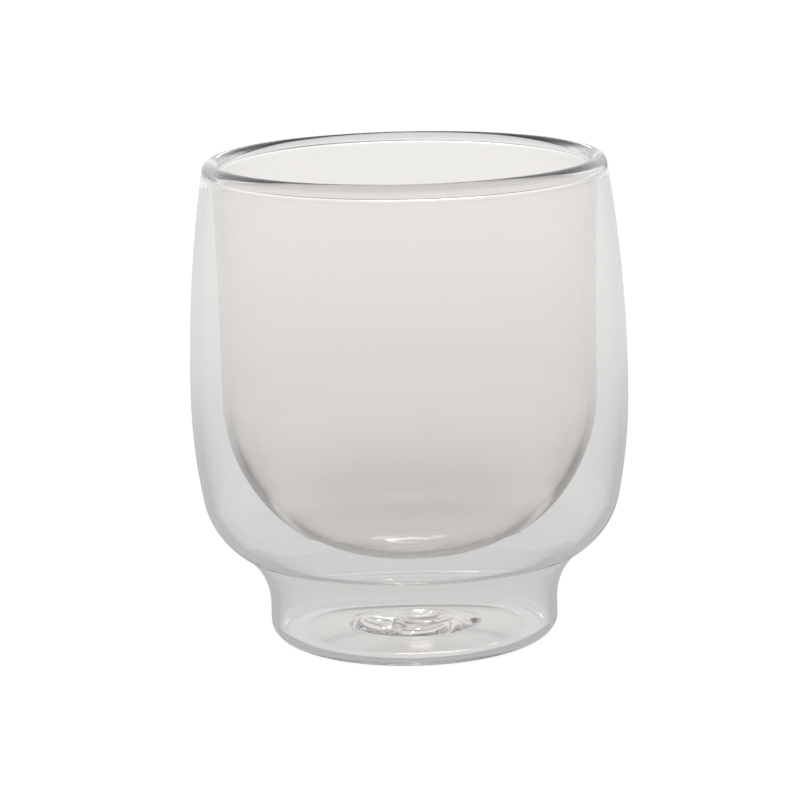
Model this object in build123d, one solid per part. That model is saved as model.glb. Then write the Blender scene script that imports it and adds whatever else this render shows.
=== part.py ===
"""Double walled glass cup: a blown liner hung inside a blown outer body by the fused rim.

Millimetres. +Z is up and is the axis of the cup; the origin is the middle of the ring it stands on.
Every piece is a revolve of its section, drawn in the half plane of radius (first) and height (second).
Each wall is drawn once as its outer face, a chain of tangent arcs, and once more about the same centres,
moved in by the wall, so that the glass keeps one thickness round every bend.
"""

import os
from math import asin, atan2, cos, degrees, hypot, radians, sin, sqrt

from build123d import *

# ---- overall and rim ----
cup_height = 90.0          # standing ring to crest of the rim
mouth_radius = 33.85       # inside of the liner at the rim seam
rim_gap = 0.8              # air between the two walls at the rim seam
bead_height = 3.0          # fused rim, from the seam to the crest
gap_arch = 0.9             # how far the air gap runs up into the fused rim

# ---- outer body ----
outer_wall = 1.4
belly_swell = 3.25         # how far the belly stands out past the rim
flank_radius = 105.0       # slow curve below the belly
flank_sweep = 10.6         # degrees of that curve before the shoulder starts
shoulder_radius = 14.6     # round turn under the belly
waist_radius = 13.3        # hollow curve from the shoulder into the foot
foot_radius = 27.0
foot_height = 6.2          # upright part of the foot
foot_corner = 3.1          # outer edge of the base
ring_width = 2.8           # flat ring that the cup stands on
ring_turn = 6.0            # hollow curve from the standing ring into the raised base
kick_height = 1.5          # rise of the base inside the standing ring

# ---- liner ----
bowl_wall = 1.4
bowl_flare = 0.4           # how much wider the liner is at the seam than where its bottom turns in
bowl_turn_inset = 4.0      # distance of the bottom turn's centre from the axis
bowl_crown_radius = 48.0   # nearly flat middle of the liner's bottom
bowl_float = 11.8          # air between the foot floor and the liner, on the axis

# ---- sealed vent in the foot floor ----
vent_radius = 4.0
seal_radius = 12.5         # spread of the melted glass over the floor
seal_rise = 1.6            # its height above the floor
seal_drop = 0.4            # its bulge below the base


def arc(centre, radius, start, end):
    """Arc about a centre, between two directions in degrees."""
    return CenterArc(centre, radius, start, end - start)


def on(centre, radius, direction):
    """Point at a direction in degrees on a circle."""
    a = radians(direction)
    return (centre[0] + radius * cos(a), centre[1] + radius * sin(a))


def revolved(edges, name, tint):
    """Closed section in the radius and height plane, turned about the axis of the cup."""
    section = Plane.XZ * make_face(edges)
    solid = revolve(section, Axis.Z, 360)
    solid.label = name
    solid.color = tint
    return solid


# ---- liner: heights and centres ----
seam_z = cup_height - bead_height
liner_seam_radius = mouth_radius + bowl_wall
bowl_radius = liner_seam_radius - bowl_flare
bowl_bottom = kick_height + outer_wall + bowl_float

turn_radius = bowl_radius - bowl_turn_inset
crown_centre = (0.0, bowl_bottom + bowl_crown_radius)
turn_drop = sqrt((bowl_crown_radius - turn_radius) ** 2 - bowl_turn_inset**2)
turn_centre = (bowl_turn_inset, crown_centre[1] - turn_drop)
crown_start = degrees(atan2(turn_centre[1] - crown_centre[1], turn_centre[0]))

side_height = seam_z - turn_centre[1]
side_radius = (bowl_flare**2 + side_height**2) / (2 * bowl_flare)
side_centre = (bowl_radius + side_radius, turn_centre[1])
side_out_end = 180 - degrees(asin(side_height / side_radius))
side_in_end = 180 - degrees(asin(side_height / (side_radius + bowl_wall)))
mouth_edge = on(side_centre, side_radius + bowl_wall, side_in_end)
liner_edge = on(side_centre, side_radius, side_out_end)

# ---- outer body: heights and centres, built from the foot up ----
rim_radius = liner_seam_radius + rim_gap + outer_wall
belly_radius = rim_radius + belly_swell
waist_centre = (foot_radius + waist_radius, foot_height)
flank_reach = flank_radius - shoulder_radius
shoulder_r = belly_radius - flank_radius + flank_reach * cos(radians(flank_sweep))
waist_reach = waist_centre[0] - shoulder_r
waist_climb = sqrt((shoulder_radius + waist_radius) ** 2 - waist_reach**2)
shoulder_centre = (shoulder_r, foot_height + waist_climb)
waist_turn = degrees(atan2(waist_climb, waist_reach))
belly_z = shoulder_centre[1] + flank_reach * sin(radians(flank_sweep))
flank_centre = (belly_radius - flank_radius, belly_z)

upper_height = seam_z - belly_z
upper_radius = (belly_swell**2 + upper_height**2) / (2 * belly_swell)
upper_centre = (belly_radius - upper_radius, belly_z)
upper_out_end = degrees(asin(upper_height / upper_radius))
upper_in_end = degrees(asin(upper_height / (upper_radius - outer_wall)))
rim_edge = on(upper_centre, upper_radius, upper_out_end)
gap_edge = on(upper_centre, upper_radius - outer_wall, upper_in_end)

corner_centre = (foot_radius - foot_corner, foot_corner)
ring_inner = corner_centre[0] - ring_width
ring_centre = (ring_inner, ring_turn)
kick_reach = ring_turn - kick_height
kick_radius = (ring_inner**2 + kick_reach**2 - ring_turn**2) / (2 * kick_height)
kick_centre = (0.0, kick_height - kick_radius)
kick_sweep = degrees(asin(ring_inner / (kick_radius + ring_turn)))
floor_radius = kick_radius + outer_wall


def kick_direction(radius, r):
    """Direction from the centre of the raised base to its surface at r from the axis."""
    return 90 - degrees(asin(r / radius))


base_hole = on(kick_centre, kick_radius, kick_direction(kick_radius, vent_radius))
floor_hole = on(kick_centre, floor_radius, kick_direction(floor_radius, vent_radius))

outer_shell = revolved(
    [
        arc(upper_centre, upper_radius, upper_out_end, 0),
        arc(flank_centre, flank_radius, 0, -flank_sweep),
        arc(shoulder_centre, shoulder_radius, -flank_sweep, -waist_turn),
        arc(waist_centre, waist_radius, 180 - waist_turn, 180),
        Line((foot_radius, foot_height), (foot_radius, foot_corner)),
        arc(corner_centre, foot_corner, 0, -90),
        Line((corner_centre[0], 0), (ring_inner, 0)),
        arc(ring_centre, ring_turn, -90, -90 - kick_sweep),
        arc(kick_centre, kick_radius, 90 - kick_sweep, kick_direction(kick_radius, vent_radius)),
        Line(base_hole, floor_hole),
        arc(kick_centre, floor_radius, kick_direction(floor_radius, vent_radius), 90 - kick_sweep),
        arc(ring_centre, ring_turn - outer_wall, -90 - kick_sweep, -90),
        Line((ring_inner, outer_wall), (corner_centre[0], outer_wall)),
        arc(corner_centre, foot_corner - outer_wall, -90, 0),
        Line((foot_radius - outer_wall, foot_corner), (foot_radius - outer_wall, foot_height)),
        arc(waist_centre, waist_radius + outer_wall, 180, 180 - waist_turn),
        arc(shoulder_centre, shoulder_radius - outer_wall, -waist_turn, -flank_sweep),
        arc(flank_centre, flank_radius - outer_wall, -flank_sweep, 0),
        arc(upper_centre, upper_radius - outer_wall, 0, upper_in_end),
        Line(gap_edge, rim_edge),
    ],
    "outer_shell",
    Color(0.75, 0.85, 0.95, 0.5),
)

inner_bowl = revolved(
    [
        arc(side_centre, side_radius, side_out_end, 180),
        arc(turn_centre, turn_radius, 0, crown_start),
        arc(crown_centre, bowl_crown_radius, crown_start, -90),
        Line((0, bowl_bottom), (0, bowl_bottom + bowl_wall)),
        arc(crown_centre, bowl_crown_radius - bowl_wall, -90, crown_start),
        arc(turn_centre, turn_radius - bowl_wall, crown_start, 0),
        arc(side_centre, side_radius + bowl_wall, 180, side_in_end),
        Line(mouth_edge, liner_edge),
    ],
    "inner_bowl",
    Color(0.95, 0.85, 0.7, 0.7),
)

# ---- rim: one round crest, tangent to both walls' lean, over the narrow arch that ends the air gap ----
out_lean = radians(upper_out_end)
in_lean = asin(side_height / (side_radius + bowl_wall))
# The crest's centre (r, cup_height - radius) lies one radius inside each flank line.
out_side = rim_edge[0] * cos(out_lean) - bead_height * sin(out_lean)
in_side = mouth_edge[0] * cos(in_lean) + bead_height * sin(in_lean)
out_share = 1 - sin(out_lean)
in_share = 1 - sin(in_lean)
crest_radius = (out_side * cos(in_lean) - in_side * cos(out_lean)) / (
    out_share * cos(in_lean) + in_share * cos(out_lean)
)
crest_centre = ((in_side + in_share * crest_radius) / cos(in_lean), cup_height - crest_radius)
crest_out = degrees(out_lean)
crest_in = 180 - degrees(in_lean)
gap_root = (gap_edge[0] - liner_edge[0]) / 2
gap_middle = (liner_edge[0] + gap_root, seam_z)

rim_bead = revolved(
    [
        Line(rim_edge, on(crest_centre, crest_radius, crest_out)),
        arc(crest_centre, crest_radius, crest_out, crest_in),
        Line(on(crest_centre, crest_radius, crest_in), mouth_edge),
        Line(mouth_edge, liner_edge),
        EllipticalCenterArc(gap_middle, gap_root, gap_arch, start_angle=0, arc_size=180),
        Line(gap_edge, rim_edge),
    ],
    "rim_bead",
    Color(0.6, 0.95, 0.85, 0.9),
)

# ---- vent seal: a plug in the hole under a flat dome of melted glass ----
seal_edge = on(kick_centre, floor_radius, kick_direction(floor_radius, seal_radius))
seal_top = kick_height + outer_wall + seal_rise
dome_rise = seal_top - seal_edge[1]
dome_radius = (seal_radius**2 + dome_rise**2) / (2 * dome_rise)
dome_centre = (0.0, seal_top - dome_radius)
drop_radius = (vent_radius**2 + seal_drop**2) / (2 * seal_drop)
drop_centre = (0.0, base_hole[1] - seal_drop + drop_radius)
drop_edge = -90 + degrees(asin(vent_radius / drop_radius))

vent_seal = revolved(
    [
        arc(drop_centre, drop_radius, -90, drop_edge),
        Line(base_hole, floor_hole),
        arc(kick_centre, floor_radius, kick_direction(floor_radius, vent_radius),
            kick_direction(floor_radius, seal_radius)),
        arc(dome_centre, dome_radius, kick_direction(dome_radius, seal_radius), 90),
        Line((0, seal_top), (0, base_hole[1] - seal_drop)),
    ],
    "vent_seal",
    Color(0.9, 0.6, 0.6, 0.9),
)

os.makedirs("parts", exist_ok=True)
for piece in (outer_shell, inner_bowl, rim_bead, vent_seal):
    export_step(piece, f"parts/{piece.label}.step")
    box = piece.bounding_box()
    print(f"{piece.label}: {box.size.X:.2f} x {box.size.Y:.2f} x {box.size.Z:.2f} mm, "
          f"z {box.min.Z:.2f} to {box.max.Z:.2f}, {piece.volume / 1000:.2f} cm3")
print(f"rim radius {rim_radius:.2f}, belly radius {belly_radius:.2f} at z {belly_z:.2f}, "
      f"crest radius {crest_radius:.2f} at r {crest_centre[0]:.2f}, gap at seam {2 * gap_root:.2f}")
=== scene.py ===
from math import asin, atan2, cos, pi, radians, sin, sqrt

import bpy
import numpy as np
from mathutils import Matrix, Vector


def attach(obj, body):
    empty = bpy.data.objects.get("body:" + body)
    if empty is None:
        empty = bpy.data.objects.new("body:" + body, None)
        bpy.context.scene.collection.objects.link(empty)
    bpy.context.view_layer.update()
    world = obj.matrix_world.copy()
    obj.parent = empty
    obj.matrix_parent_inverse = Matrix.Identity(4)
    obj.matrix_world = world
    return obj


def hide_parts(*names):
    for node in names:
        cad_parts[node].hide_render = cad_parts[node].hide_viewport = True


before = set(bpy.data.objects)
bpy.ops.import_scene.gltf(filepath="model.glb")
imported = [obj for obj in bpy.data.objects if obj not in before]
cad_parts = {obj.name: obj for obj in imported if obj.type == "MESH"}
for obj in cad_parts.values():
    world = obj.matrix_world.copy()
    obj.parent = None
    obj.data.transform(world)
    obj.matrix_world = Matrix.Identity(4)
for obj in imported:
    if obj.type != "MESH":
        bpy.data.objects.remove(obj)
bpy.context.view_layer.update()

# ---- sizes of the cup in millimetres, the same as in the CAD ----
cup_height = 90.0
mouth_radius = 33.85
rim_gap = 0.8
bead_height = 3.0
gap_arch = 0.9

outer_wall = 1.4
belly_swell = 3.25
flank_radius = 105.0
flank_sweep = radians(10.6)
shoulder_radius = 14.6
waist_radius = 13.3
foot_radius = 27.0
foot_height = 6.2
foot_corner = 3.1
ring_width = 2.8
ring_turn = 6.0
kick_height = 1.5

bowl_wall = 1.4
bowl_flare = 0.4
bowl_turn_inset = 4.0
bowl_crown_radius = 48.0
bowl_float = 11.8

vent_radius = 4.0
seal_radius = 12.5
seal_rise = 1.6
seal_drop = 0.4

swirl_height = 0.28        # ridges in the melted glass of the seal
swirl_turn = 0.55          # radians that they turn per millimetre from the axis
swirl_start = 0.3          # distance from the axis at which they begin,
swirl_full = 4.0           # at which they have their full height
swirl_fade = 8.5           # and from which they sink towards the edge of the seal
dimple = 0.04              # rings in the bottom of the bowl
dimple_pitch = 9.0
dimple_full = 2.0          # height over the bowl's underside up to which they are full
dimple_end = 4.0           # and at which they end

seam_tilt = 0.45           # how far the fused seam rises towards one side
tilt_side = radians(110)
tilt_from = 68.0           # height at which the walls start to follow it

TURNS = 256                # facets round every revolve
UP = pi / 2
metres = 0.0009996         # in a millimetre, less a sliver that keeps the visual inside the CAD's facets

# ---- glass ----
glass_ior = 1.47
glass_tint = (0.971, 0.961, 0.951)
wave_height = 0.00002      # metres, unevenness of the drawn walls
wave_scale = 70.0          # waves per metre
rim_waves = 12.0           # how much stronger they are in the fused rim
rim_from = 0.0855          # metres, height at which the rim's stronger waves begin
rim_full = 0.0885          # and at which they are full

# ---- stage ----
floor_size = 6.0           # metres
floor_white = 0.92         # glow of the floor as the camera sees it
floor_grey = 0.2           # its own colour for camera and glass, which keeps the cup's shadow
floor_colour = 0.82        # its colour for the light that it throws on the cup
# Each list holds pairs: a distance, height or count, and the brightness there.
straight = (               # painted shadow: floor seen through glass, darker close to the cup, by metres from the cup's axis
    (0.000, 0.88), (0.030, 0.81), (0.070, 0.77), (0.100, 0.82), (0.140, 0.83), (0.200, 0.84),
    (0.290, 0.92), (0.400, 0.97), (0.500, 1.01), (1.200, 1.06),
)
mirrored = (               # the same after a reflection inside the inner wall: painted rings of shade and light
    (0.000, 0.60), (0.028, 0.52), (0.038, 0.45), (0.046, 0.72), (0.054, 0.72), (0.062, 0.38),
    (0.095, 0.38), (0.130, 0.58), (0.250, 0.78), (0.400, 0.90),
)
glanced = (                # painted shade: the same after a reflection inside the outer wall alone, darker close to the cup
    (0.000, 0.60), (0.030, 0.62), (0.100, 0.62), (0.150, 0.64), (0.220, 0.72), (0.290, 0.80),
    (0.400, 0.84),
)
deep_from = 3.0            # surfaces passed by light that has met the outer wall alone
deep_to = 4.5              # and by light that has met both walls
sky = (                    # sky seen through glass, by the sine of the height over the horizon
    (0.00, 1.00), (0.10, 1.00), (0.20, 1.15), (0.42, 1.15), (0.65, 0.80), (0.85, 0.30), (1.00, 0.25),
)
mirrored_sky = 0.80        # painted shade: the sky dimmed to this share for glass rays after a reflection inside the glass
long_floor = (             # painted shade and painted light: the floor's brightness by the number of reflections inside the glass
    (0, 1.00), (20, 1.00), (45, 0.38), (90, 0.38), (150, 1.20), (400, 1.20),
)
long_sky = (               # painted shade and painted highlight: the sky's brightness by that number, which paints the rim's dark lines and its bright ends
    (0, 1.00), (13, 1.00), (27, 0.00), (128, 0.00), (180, 1.25), (400, 1.25),
)
lamp_place = (0.02, 1.05, 0.38)
lamp_size = 0.10
lamp_power = 0.09          # watts


def on(centre, radius, a):
    """Point at an angle on a circle."""
    return (centre[0] + radius * cos(a), centre[1] + radius * sin(a))


def arc(centre, radius, start, end, steps):
    """Stretch of a section along a circle, for t from 0 to 1."""
    def at(t):
        a = start + (end - start) * t
        return centre[0] + radius * np.cos(a), centre[1] + radius * np.sin(a)
    return at, steps


def arch(centre, width, height, steps):
    """Half an ellipse over its centre, from the right to the left, for t from 0 to 1."""
    def at(t):
        return centre[0] + width * np.cos(pi * t), centre[1] + height * np.sin(pi * t)
    return at, steps


def line(a, b, steps):
    """Straight stretch of a section, for t from 0 to 1."""
    def at(t):
        return a[0] + (b[0] - a[0]) * t, a[1] + (b[1] - a[1]) * t
    return at, steps


def top_angle(radius, r):
    """Angle at which a dome of that radius stands at r from the axis."""
    return UP - asin(r / radius)


# ---- liner ----
seam_z = cup_height - bead_height
liner_seam = mouth_radius + bowl_wall
bowl_radius = liner_seam - bowl_flare
bowl_bottom = kick_height + outer_wall + bowl_float
turn_radius = bowl_radius - bowl_turn_inset
crown_c = (0.0, bowl_bottom + bowl_crown_radius)
turn_drop = sqrt((bowl_crown_radius - turn_radius) ** 2 - bowl_turn_inset**2)
turn_c = (bowl_turn_inset, crown_c[1] - turn_drop)
crown_a = atan2(turn_c[1] - crown_c[1], turn_c[0])
side_h = seam_z - turn_c[1]
side_r = (bowl_flare**2 + side_h**2) / (2 * bowl_flare)
side_c = (bowl_radius + side_r, turn_c[1])
in_lean = asin(side_h / (side_r + bowl_wall))
side_out = pi - asin(side_h / side_r)
side_in = pi - in_lean
mouth_edge = on(side_c, side_r + bowl_wall, side_in)
liner_edge = on(side_c, side_r, side_out)

bowl_out = [
    arc(side_c, side_r, side_out, pi, 36),
    arc(turn_c, turn_radius, 0, crown_a, 48),
    arc(crown_c, bowl_crown_radius, crown_a, -UP, 10),
]
bowl_in = [
    arc(crown_c, bowl_crown_radius - bowl_wall, -UP, crown_a, 10),
    arc(turn_c, turn_radius - bowl_wall, crown_a, 0, 48),
    arc(side_c, side_r + bowl_wall, pi, side_in, 36),
]

# ---- outer body ----
rim_radius = liner_seam + rim_gap + outer_wall
belly_radius = rim_radius + belly_swell
waist_c = (foot_radius + waist_radius, foot_height)
reach = flank_radius - shoulder_radius
shoulder_x = belly_radius - flank_radius + reach * cos(flank_sweep)
waist_dx = waist_c[0] - shoulder_x
waist_dz = sqrt((shoulder_radius + waist_radius) ** 2 - waist_dx**2)
shoulder_c = (shoulder_x, foot_height + waist_dz)
waist_a = atan2(waist_dz, waist_dx)
belly_z = shoulder_c[1] + reach * sin(flank_sweep)
flank_c = (belly_radius - flank_radius, belly_z)
upper_h = seam_z - belly_z
upper_r = (belly_swell**2 + upper_h**2) / (2 * belly_swell)
upper_c = (belly_radius - upper_r, belly_z)
out_lean = asin(upper_h / upper_r)
upper_in = asin(upper_h / (upper_r - outer_wall))
rim_edge = on(upper_c, upper_r, out_lean)
gap_edge = on(upper_c, upper_r - outer_wall, upper_in)
corner_c = (foot_radius - foot_corner, foot_corner)
ring_inner = corner_c[0] - ring_width
ring_c = (ring_inner, ring_turn)
kick_r = (ring_inner**2 + (ring_turn - kick_height) ** 2 - ring_turn**2) / (2 * kick_height)
kick_c = (0.0, kick_height - kick_r)
kick_a = asin(ring_inner / (kick_r + ring_turn))
floor_r = kick_r + outer_wall
base_hole = on(kick_c, kick_r, top_angle(kick_r, vent_radius))

shell_out = [
    arc(upper_c, upper_r, out_lean, 0, 40),
    arc(flank_c, flank_radius, 0, -flank_sweep, 18),
    arc(shoulder_c, shoulder_radius, -flank_sweep, -waist_a, 26),
    arc(waist_c, waist_radius, pi - waist_a, pi, 22),
    line((foot_radius, foot_height), (foot_radius, foot_corner), 5),
    arc(corner_c, foot_corner, 0, -UP, 16),
    line((corner_c[0], 0), (ring_inner, 0), 3),
    arc(ring_c, ring_turn, -UP, -UP - kick_a, 4),
    arc(kick_c, kick_r, UP - kick_a, top_angle(kick_r, vent_radius), 12),
]
shell_in = [
    arc(kick_c, floor_r, top_angle(floor_r, seal_radius), UP - kick_a, 8),
    arc(ring_c, ring_turn - outer_wall, -UP - kick_a, -UP, 4),
    line((ring_inner, outer_wall), (corner_c[0], outer_wall), 3),
    arc(corner_c, foot_corner - outer_wall, -UP, 0, 14),
    line((foot_radius - outer_wall, foot_corner), (foot_radius - outer_wall, foot_height), 5),
    arc(waist_c, waist_radius + outer_wall, pi, pi - waist_a, 22),
    arc(shoulder_c, shoulder_radius - outer_wall, -waist_a, -flank_sweep, 26),
    arc(flank_c, flank_radius - outer_wall, -flank_sweep, 0, 18),
    arc(upper_c, upper_r - outer_wall, 0, upper_in, 40),
]

# ---- rim bead ----
out_side = rim_edge[0] * cos(out_lean) - bead_height * sin(out_lean)
in_side = mouth_edge[0] * cos(in_lean) + bead_height * sin(in_lean)
crest_r = (out_side * cos(in_lean) - in_side * cos(out_lean)) / (
    (1 - sin(out_lean)) * cos(in_lean) + (1 - sin(in_lean)) * cos(out_lean)
)
crest_c = ((in_side + (1 - sin(in_lean)) * crest_r) / cos(in_lean), cup_height - crest_r)
gap_root = (gap_edge[0] - liner_edge[0]) / 2
gap_c = (liner_edge[0] + gap_root, seam_z)

bead_top = [
    line(mouth_edge, on(crest_c, crest_r, pi - in_lean), 4),
    arc(crest_c, crest_r, pi - in_lean, out_lean, 40),
    line(on(crest_c, crest_r, out_lean), rim_edge, 4),
]
bead_root = [arch(gap_c, gap_root, gap_arch, 24)]

# ---- vent seal ----
seal_edge = on(kick_c, floor_r, top_angle(floor_r, seal_radius))
seal_top = kick_height + outer_wall + seal_rise
dome_rise = seal_top - seal_edge[1]
dome_r = (seal_radius**2 + dome_rise**2) / (2 * dome_rise)
dome_c = (0.0, seal_top - dome_r)
drop_r = (vent_radius**2 + seal_drop**2) / (2 * seal_drop)
drop_c = (0.0, base_hole[1] - seal_drop + drop_r)

seal_up = [arc(dome_c, dome_r, UP, top_angle(dome_r, seal_radius), 40)]
seal_down = [arc(drop_c, drop_r, -UP + asin(vent_radius / drop_r), -UP, 14)]


def smooth(a, b, x):
    """0 up to a, 1 from b on, smooth between."""
    t = np.clip((x - a) / (b - a), 0.0, 1.0)
    return t * t * (3 - 2 * t)


def open_face(r, th, z):
    """Points at r, th and z: a face against the room, as it is in the CAD."""
    return np.stack([r * np.cos(th), r * np.sin(th), z + 0 * th], -1)


def gap_face(r, th, z):
    """A face against the air gap. The fused seam isn't quite level: it is highest at the back."""
    lift = seam_tilt * smooth(tilt_from, seam_z, z) * np.cos(th - tilt_side)
    return open_face(r, th, z + lift)


def seal_face(r, th, z):
    """The top of the seal: melted glass twisted shut, smooth at its edge."""
    spread = smooth(swirl_start, swirl_full, r) * (1 - smooth(swirl_fade, seal_radius, r))
    ridge = swirl_height * spread * np.sin(th + swirl_turn * r)
    return open_face(r, th, z + ridge)


def bowl_face(r, th, z):
    """The inside of the bowl, with shallow rings in its bottom."""
    low = 1 - smooth(bowl_bottom + dimple_full, bowl_bottom + dimple_end, z)
    ring = dimple * low * np.cos(2 * pi * r / dimple_pitch)
    return open_face(r, th, z + ring)


def rings(run):
    """Radius and height of every ring of a run, and of the points just before and after it."""
    rows = []
    tiny = 1e-4
    last = len(run) - 1
    for i, (at, steps) in enumerate(run):
        for k in range(steps + (i == last)):
            t = k / steps
            rows.append(at(t) + at(max(t - tiny, 0.0)) + at(min(t + tiny, 1.0)))
    return np.array(rows, float)


def lathe(run, warp, first):
    """Vertices, faces and corner normals of a run turned about the axis. A ring at r = 0 is one point."""
    rows = rings(run)
    th = np.arange(TURNS) * (2 * pi / TURNS)
    turn = 1e-4
    r, z, r0, z0, r1, z1 = (rows[:, k, None] for k in range(6))
    points = warp(r, th, z)
    along = warp(r1, th, z1) - warp(r0, th, z0)
    around = warp(r, th + turn, z) - warp(r, th - turn, z)
    normals = np.cross(along, around)
    pole = rows[:, 0] < 1e-6
    normals[pole] = np.array([0, 0, 1.0]) * np.sign(rows[pole, 4] - rows[pole, 2])[:, None, None]
    normals /= np.linalg.norm(normals, axis=2, keepdims=True)

    verts = []
    index = []
    for i in range(len(rows)):
        start = first + len(verts)
        if pole[i]:
            verts.append(points[i, 0])
            index.append([start] * TURNS)
        else:
            verts.extend(points[i])
            index.append(range(start, start + TURNS))
    faces = []
    corner_normals = []
    for i in range(len(rows) - 1):
        for j in range(TURNS):
            k = (j + 1) % TURNS
            corners = [(i, j), (i + 1, j), (i + 1, k), (i, k)]
            if pole[i]:
                corners.remove((i, k))
            if pole[i + 1]:
                corners.remove((i + 1, k))
            faces.append([index[a][b] for a, b in corners])
            corner_normals.extend(normals[a, b] for a, b in corners)
    return verts, faces, corner_normals


def piece(name, node, runs, material):
    """One visible piece of glass, in place of its CAD node."""
    verts = []
    faces = []
    normals = []
    for run, warp in runs:
        v, f, n = lathe(run, warp, len(verts))
        verts += v
        faces += f
        normals += n
    mesh = bpy.data.meshes.new(name)
    mesh.from_pydata((np.array(verts) * metres).tolist(), [], faces)
    mesh.polygons.foreach_set("use_smooth", [True] * len(faces))
    mesh.update()
    mesh.normals_split_custom_set([tuple(map(float, n)) for n in normals])
    mesh.materials.append(material)
    obj = bpy.data.objects.new(name, mesh)
    bpy.context.scene.collection.objects.link(obj)
    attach(obj, "root")
    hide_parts(node)
    return obj


def add(tree, kind, **values):
    """Shader node with its properties set."""
    node = tree.nodes.new(kind)
    for key, value in values.items():
        setattr(node, key, value)
    return node


def maths(tree, operation, a, b):
    """Math node on two sockets or numbers, as a socket."""
    node = add(tree, "ShaderNodeMath", operation=operation)
    for slot, value in zip(node.inputs, (a, b)):
        if isinstance(value, (int, float)):
            slot.default_value = value
        else:
            tree.links.new(value, slot)
    return node.outputs[0]


def mix(tree, share, a, b):
    """Float mix of a to b by a share, as a socket."""
    node = add(tree, "ShaderNodeMix", data_type="FLOAT")
    for slot, value in ((0, share), (2, a), (3, b)):
        if isinstance(value, (int, float)):
            node.inputs[slot].default_value = value
        else:
            tree.links.new(value, node.inputs[slot])
    return node.outputs[0]


def ramp(tree, value, start, end, low, high):
    """Straight ramp between two values of a socket, as a socket."""
    node = add(tree, "ShaderNodeMapRange")
    tree.links.new(value, node.inputs["Value"])
    for name, number in (("From Min", start), ("From Max", end), ("To Min", low), ("To Max", high)):
        node.inputs[name].default_value = number
    return node.outputs["Result"]


def glass(name, waves, height):
    """Clear borosilicate glass, faintly warm grey, with the shallow waves of drawn tube."""
    material = bpy.data.materials.new(name)
    material.use_nodes = True
    tree = material.node_tree
    shader = tree.nodes["Principled BSDF"]
    shader.inputs["Base Color"].default_value = (*glass_tint, 1)
    shader.inputs["Roughness"].default_value = 0.0
    shader.inputs["IOR"].default_value = glass_ior
    shader.inputs["Transmission Weight"].default_value = 1.0
    place = add(tree, "ShaderNodeTexCoord")
    noise = add(tree, "ShaderNodeTexNoise")
    noise.inputs["Scale"].default_value = waves
    noise.inputs["Detail"].default_value = 1.0
    bump = add(tree, "ShaderNodeBump")
    bump.inputs["Distance"].default_value = height
    bump.inputs["Strength"].default_value = 1.0
    tree.links.new(place.outputs["Object"], noise.inputs["Vector"])
    axes = add(tree, "ShaderNodeSeparateXYZ")
    tree.links.new(place.outputs["Object"], axes.inputs[0])
    high = ramp(tree, axes.outputs["Z"], rim_from, rim_full, 1.0, rim_waves)
    tree.links.new(maths(tree, "MULTIPLY", noise.outputs["Fac"], high), bump.inputs["Height"])
    tree.links.new(bump.outputs["Normal"], shader.inputs["Normal"])
    return material


wall_glass = glass("clear_glass", wave_scale, wave_height)
piece("outer_shell_glass", "outer_shell", [(shell_out, open_face), (shell_in, gap_face)], wall_glass)
piece("inner_bowl_glass", "inner_bowl", [(bowl_out, gap_face), (bowl_in, bowl_face)], wall_glass)
piece("rim_bead_glass", "rim_bead", [(bead_top, open_face), (bead_root, gap_face)], wall_glass)
piece("vent_seal_glass", "vent_seal", [(seal_up, seal_face), (seal_down, open_face)], wall_glass)


def seen_by_camera_or_glass(tree):
    """Outputs of a Light Path node, and 1 for rays of the camera, a mirror or glass, 0 for the others."""
    rays = add(tree, "ShaderNodeLightPath").outputs
    direct = maths(tree, "MAXIMUM", rays["Is Camera Ray"], rays["Is Glossy Ray"])
    return rays, maths(tree, "MAXIMUM", direct, rays["Is Transmission Ray"])


def shade_rings(tree, distance, stops):
    """Brightness by a list of stops, from a socket with a distance, height or count, as a socket."""
    reach = stops[-1][0]
    scale = add(tree, "ShaderNodeValToRGB")
    tree.links.new(maths(tree, "DIVIDE", distance, reach), scale.inputs["Fac"])
    marks = scale.color_ramp.elements
    while len(marks) < len(stops):
        marks.new(0.5)
    for mark, (place, shade) in zip(marks, stops):
        mark.position = place / reach
        mark.color = (shade, shade, shade, 1)
    return scale.outputs["Color"]


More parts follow.
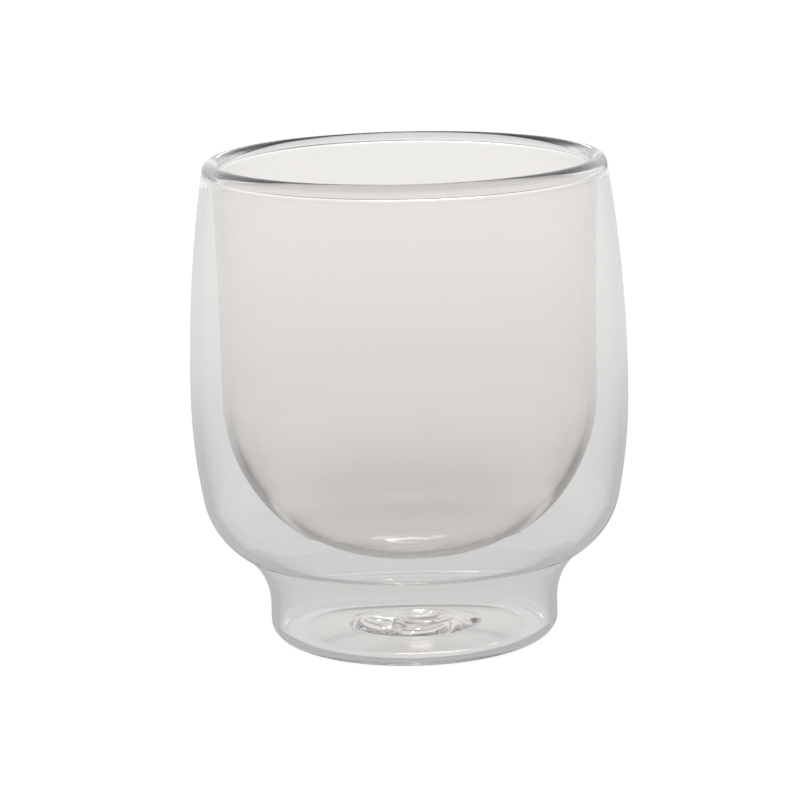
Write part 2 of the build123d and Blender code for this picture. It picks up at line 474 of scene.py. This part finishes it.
def floor_material():
    """Matt white table. Glass sees painted shade on it: a painted shadow close to the cup and painted
    rings of shade and light; the camera sees it white.
    """
    material = bpy.data.materials.new("pale_floor")
    material.use_nodes = True
    tree = material.node_tree
    shader = tree.nodes["Principled BSDF"]
    shader.inputs["Roughness"].default_value = 1.0
    shader.inputs["Specular IOR Level"].default_value = 0.0
    rays, seen = seen_by_camera_or_glass(tree)
    place = add(tree, "ShaderNodeTexCoord")
    distance = add(tree, "ShaderNodeVectorMath", operation="LENGTH")
    tree.links.new(place.outputs["Object"], distance.inputs[0])
    # painted shade and light: glass sees the floor's brightness painted by distance from the cup and by
    # reflections inside the glass
    plain = shade_rings(tree, distance.outputs["Value"], straight)
    deep = mix(tree, ramp(tree, rays["Transmission Depth"], deep_from, deep_to, 0, 1),
               shade_rings(tree, distance.outputs["Value"], glanced),
               shade_rings(tree, distance.outputs["Value"], mirrored))
    turned = maths(tree, "MINIMUM", rays["Glossy Depth"], 1)
    long_path = shade_rings(tree, rays["Glossy Depth"], long_floor)
    faded = maths(tree, "MULTIPLY", mix(tree, turned, plain, deep), long_path)
    painted_floor_shade = maths(tree, "MAXIMUM", maths(tree, "SUBTRACT", faded, floor_grey), 0)
    through = maths(tree, "MULTIPLY", painted_floor_shade, maths(tree, "SUBTRACT", 1, rays["Is Camera Ray"]))
    direct = maths(tree, "MULTIPLY", rays["Is Camera Ray"], floor_white)
    glow = maths(tree, "MULTIPLY", seen, maths(tree, "ADD", through, direct))
    tree.links.new(glow, shader.inputs["Emission Strength"])
    shader.inputs["Emission Color"].default_value = (1, 1, 1, 1)
    grey = add(tree, "ShaderNodeMix", data_type="RGBA")
    tree.links.new(seen, grey.inputs[0])
    grey.inputs[6].default_value = (floor_colour, floor_colour, floor_colour, 1)
    grey.inputs[7].default_value = (floor_grey, floor_grey, floor_grey, 1)
    tree.links.new(grey.outputs[2], shader.inputs["Base Color"])
    return material


def table():
    """Round floor, wide enough that its edge is lost in the white."""
    sides = 96
    angles = [2 * pi * k / sides for k in range(sides)]
    corners = [(floor_size * cos(a), floor_size * sin(a), 0) for a in angles]
    mesh = bpy.data.meshes.new("floor")
    mesh.from_pydata(corners, [], [list(range(sides))])
    mesh.materials.append(floor_material())
    floor = bpy.data.objects.new("floor", mesh)
    bpy.context.scene.collection.objects.link(floor)


def studio():
    """White at eye level, a soft light band above it and dim overhead, the same from every side. Glass
    sees painted shade and painted highlights in it after reflections inside the glass.
    """
    world = bpy.data.worlds.new("studio")
    bpy.context.scene.world = world
    world.use_nodes = True
    tree = world.node_tree
    place = add(tree, "ShaderNodeTexCoord")
    axes = add(tree, "ShaderNodeSeparateXYZ")
    tree.links.new(place.outputs["Generated"], axes.inputs[0])
    rays = add(tree, "ShaderNodeLightPath").outputs
    height = maths(tree, "MAXIMUM", axes.outputs["Z"], 0)
    # painted shade and painted highlight: the sky dims or brightens by the number of reflections inside
    # the glass, for the rim's dark lines and bright ends
    turned = maths(tree, "MINIMUM", rays["Glossy Depth"], 1)
    painted_sky_share = maths(tree, "SUBTRACT", 1, maths(tree, "MULTIPLY", turned, 1 - mirrored_sky))
    long_path = shade_rings(tree, rays["Glossy Depth"], long_sky)
    dimmed = maths(tree, "MULTIPLY", painted_sky_share, long_path)
    bands = maths(tree, "MULTIPLY", shade_rings(tree, height, sky), dimmed)
    strength = mix(tree, rays["Is Camera Ray"], bands, 1.0)
    tree.links.new(strength, tree.nodes["Background"].inputs["Strength"])
    tree.nodes["Background"].inputs["Color"].default_value = (1, 1, 1, 1)


def lamp(name, place, size, power):
    """Round soft lamp that faces the middle of the cup."""
    data = bpy.data.lights.new(name, "AREA")
    data.shape = "DISK"
    data.size = size
    data.energy = power
    obj = bpy.data.objects.new(name, data)
    bpy.context.scene.collection.objects.link(obj)
    obj.location = place
    obj.rotation_euler = (cup_middle - Vector(place)).to_track_quat("-Z", "Y").to_euler()


cup_middle = Vector((0, 0, cup_height / 2000))    # metres
table()
studio()
lamp("window", lamp_place, lamp_size, lamp_power)

# ---- camera, solved from the outline of the cup in the photograph ----
photo_width = 800          # pixels
focal = 3220               # pixels
axis_right = -9.6          # pixels that the cup's middle lies off the middle of the picture
axis_up = -4.1
elevation = radians(12.10)
distance = 0.600           # metres from the cup's middle
roll = radians(-1.32)
back = Vector((0, -cos(elevation), sin(elevation)))
camera = bpy.data.cameras.new("camera")
camera.sensor_width = 36.0
camera.lens = focal / photo_width * camera.sensor_width
camera.shift_x = axis_right / photo_width
camera.shift_y = axis_up / photo_width
camera.clip_start = 0.05
viewer = bpy.data.objects.new("camera", camera)
bpy.context.scene.collection.objects.link(viewer)
place = Matrix.Translation(cup_middle + back * distance)
aim = back.to_track_quat("Z", "Y").to_matrix().to_4x4()
viewer.matrix_world = place @ aim @ Matrix.Rotation(roll, 4, "Z")
bpy.context.scene.camera = viewer

bpy.context.scene.view_settings.view_transform = "Standard"
bounces = 512              # light runs round inside the rim many times before it leaves
cycles = bpy.context.scene.cycles
cycles.max_bounces = bounces
cycles.transmission_bounces = bounces
cycles.glossy_bounces = bounces
cycles.transparent_max_bounces = 16
